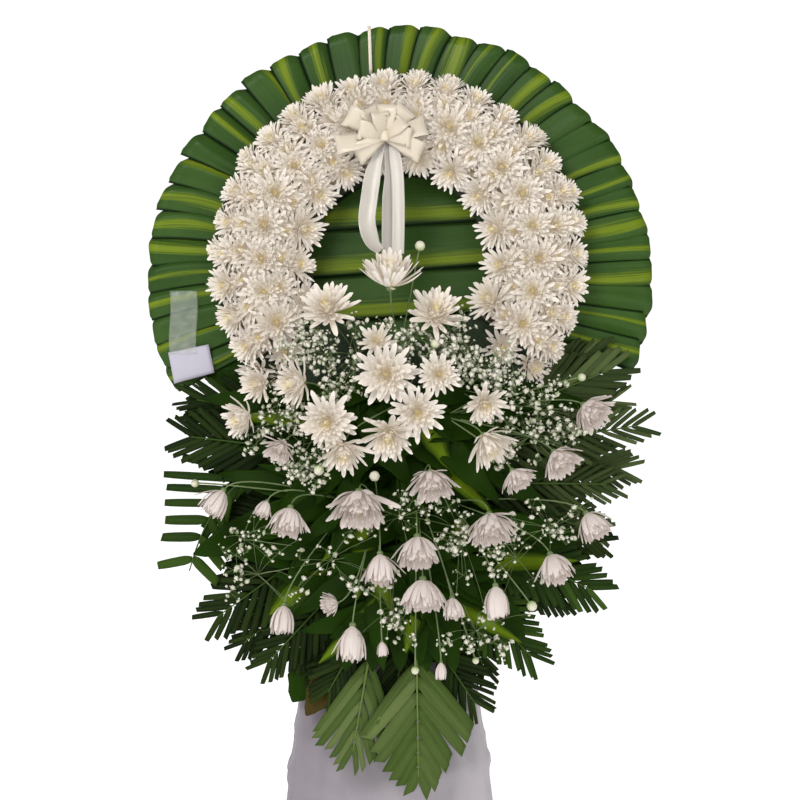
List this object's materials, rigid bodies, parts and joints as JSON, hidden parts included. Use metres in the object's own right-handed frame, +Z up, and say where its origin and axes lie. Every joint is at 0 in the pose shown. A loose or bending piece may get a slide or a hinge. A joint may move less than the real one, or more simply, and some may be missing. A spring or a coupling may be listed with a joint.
{
  "type": "funeral flower stand",
  "caption": "Leaning wooden easel that holds a leaf-edged board with a chrysanthemum wreath, a drooping flower spray, a satin bow and a blank card.",
  "frame": {"origin": "middle of the bounding box's underside, on the floor under the stand", "axes": "+Z up, -Y towards the viewer that the flowers face, +X to that viewer's right"},
  "size_m": [0.9486, 0.6092, 1.7432],
  "materials": {
    "wood": "bare batten",
    "plywood": "bare sheet",
    "wet_foam": "dull green foam",
    "stand_cloth": "soft lilac grey",
    "ruff_leaf": "glossy dark leaf with a pale stripe",
    "palm_leaf": "dark leaf",
    "palm_leaf_light": "mid-green leaf",
    "broad_leaf": "dark leaf",
    "petal": "creamy white petals",
    "babys_breath": "tiny pale florets",
    "satin_ribbon": "ivory satin",
    "note_card": "blank matt card",
    "clear_tape": "clear film"
  },
  "bodies": {
    "root": {"babys_breath_left": "babys_breath", "babys_breath_lower": "babys_breath", "babys_breath_lower_left": "babys_breath", "babys_breath_lower_right": "babys_breath", "babys_breath_right": "babys_breath", "babys_breath_upper": "babys_breath", "backing_board": "plywood", "broad_leaf_bottom": "broad_leaf", "broad_leaf_left_1": "broad_leaf", "broad_leaf_left_2": "broad_leaf", "broad_leaf_right_1": "broad_leaf", "broad_leaf_right_2": "broad_leaf", "centre_leaves": "ruff_leaf", "clear_tape": "clear_tape", "cross_rail": "wood", "foam_cover_leaves": "broad_leaf", "front_leg_left": "wood", "front_leg_right": "wood", "head_block": "wood", "leaf_ruff_1": "ruff_leaf", "leaf_ruff_2": "ruff_leaf", "leaf_ruff_3": "ruff_leaf", "leaf_ruff_4": "ruff_leaf", "leaf_ruff_5": "ruff_leaf", "leaf_ruff_6": "ruff_leaf", "leaf_ruff_7": "ruff_leaf", "note_card": "note_card", "palm_bottom_1": "palm_leaf", "palm_bottom_2": "palm_leaf_light", "palm_bottom_3": "palm_leaf_light", "palm_left_1": "palm_leaf", "palm_left_2": "palm_leaf", "palm_left_3": "palm_leaf", "palm_left_4": "palm_leaf", "palm_right_1": "palm_leaf", "palm_right_2": "palm_leaf", "palm_right_3": "palm_leaf", "palm_right_4": "palm_leaf", "rear_leg": "wood", "ribbon_bow": "satin_ribbon", "ribbon_tails": "satin_ribbon", "spray_blooms_centre": "petal", "spray_blooms_centre_left": "petal", "spray_blooms_centre_right": "petal", "spray_blooms_crown": "petal", "spray_blooms_left_lower": "petal", "spray_blooms_left_upper": "petal", "spray_blooms_right_lower": "petal", "spray_blooms_right_upper": "petal", "spray_foam_lower": "wet_foam", "spray_foam_upper": "wet_foam", "stand_cloth": "stand_cloth", "top_strip": "satin_ribbon", "wreath_blooms_1": "petal", "wreath_blooms_2": "petal", "wreath_blooms_3": "petal", "wreath_blooms_4": "petal", "wreath_blooms_5": "petal", "wreath_blooms_6": "petal", "wreath_ring": "wet_foam"}
  },
  "joints": []
}
